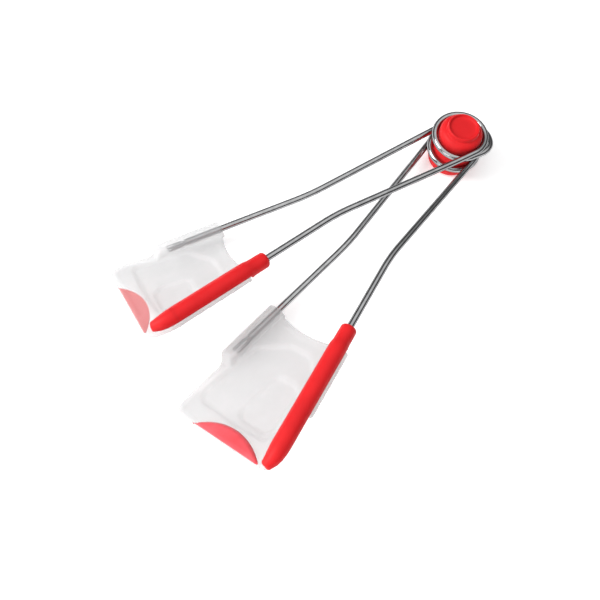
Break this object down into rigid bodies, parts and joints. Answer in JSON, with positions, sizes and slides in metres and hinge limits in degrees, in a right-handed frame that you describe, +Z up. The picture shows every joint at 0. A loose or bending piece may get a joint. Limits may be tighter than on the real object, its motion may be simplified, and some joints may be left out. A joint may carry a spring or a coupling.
{
  "type": "spring loaded kitchen tongs",
  "caption": "Kitchen tongs: sprung wire arms wound on a round spool, each ending in a moulded translucent blade with a silicone edge and tip pad.",
  "frame": {"origin": "centre of the spool's flat underside, on the hinge axis, in the plane the tongs rest on", "axes": "+Z up along the hinge axis, -Y from the spool towards the blade tips, arm A on the -X side and arm B on the +X side"},
  "size_m": [0.1384, 0.2397, 0.0437],
  "materials": {
    "spring_steel": "polished wire",
    "red_silicone": "soft matte silicone",
    "milky_nylon": "translucent moulded nylon, satin"
  },
  "bodies": {
    "arm_a": {"hub_spool": "red_silicone", "hub_button": "red_silicone", "upper_coil_turn": "spring_steel", "coil_crossover": "spring_steel", "inner_half_turn": "spring_steel", "upper_leg_a": "spring_steel", "lower_leg_a": "spring_steel", "leg_anchor_a": "spring_steel", "blade_a": "milky_nylon", "silicone_edge_a": "red_silicone", "tip_pad_a": "red_silicone"},
    "arm_b": {"lower_coil_turn": "spring_steel", "upper_leg_b": "spring_steel", "lower_leg_b": "spring_steel", "leg_anchor_b": "spring_steel", "blade_b": "milky_nylon", "silicone_edge_b": "red_silicone", "tip_pad_b": "red_silicone"}
  },
  "joints": [
    {"name": "squeeze", "type": "hinge", "parent": "arm_a", "child": "arm_b", "pos_m": [0, 0, 0], "axis": [0, 0, 1], "range_deg": [-16.5, 4], "stiffness_Nm_per_rad": 4, "deforming": ["coil_crossover", "inner_half_turn"]}
  ]
}
